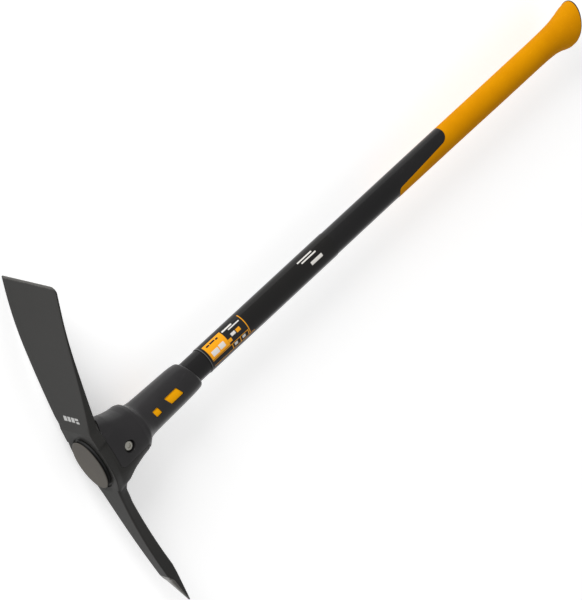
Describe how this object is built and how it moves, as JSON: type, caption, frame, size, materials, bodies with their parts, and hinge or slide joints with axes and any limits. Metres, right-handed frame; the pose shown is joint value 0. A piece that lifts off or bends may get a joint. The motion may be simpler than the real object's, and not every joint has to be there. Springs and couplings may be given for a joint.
{
  "type": "pick mattock",
  "caption": "Pick mattock: forged head with a broad adze blade and a square-pointed pick, held by a moulded collar on a straight insulated handle with an orange grip.",
  "frame": {"origin": "centre of the eye cap's flat outer face, on the handle's axis", "axes": "+X along the handle from the head to the butt, +Y towards the adze blade, +Z towards the side with the screw's head"},
  "size_m": [0.9282, 0.473, 0.1056],
  "materials": {
    "forged_steel": "dark forged coating with wear, bright ground edges",
    "cap_grey": "satin",
    "bright_steel": "bright",
    "black_moulding": "fine moulded texture",
    "shaft_black": "smooth",
    "black_rubber": "matt",
    "orange_grip": "fine moulded texture",
    "orange_insulation": "matt",
    "glass_fibre": "resin-bound fibre",
    "foam": "matt",
    "liner_polymer": "matt",
    "label_film": "glossy film with plain colour panels"
  },
  "bodies": {
    "root": {"head_forging": "forged_steel", "eye_cap": "cap_grey", "cap_ring": "black_rubber", "handle_core": "glass_fibre", "eye_liner": "liner_polymer", "core_bush": "bright_steel", "insulation_sleeve": "orange_insulation", "collar": "black_moulding", "collar_screw": "bright_steel", "collar_nut": "bright_steel", "shaft_tube": "shaft_black", "core_foam": "foam", "label_film": "label_film", "grip": "orange_grip", "butt_plug": "black_moulding", "butt_cap": "black_rubber"}
  },
  "joints": []
}
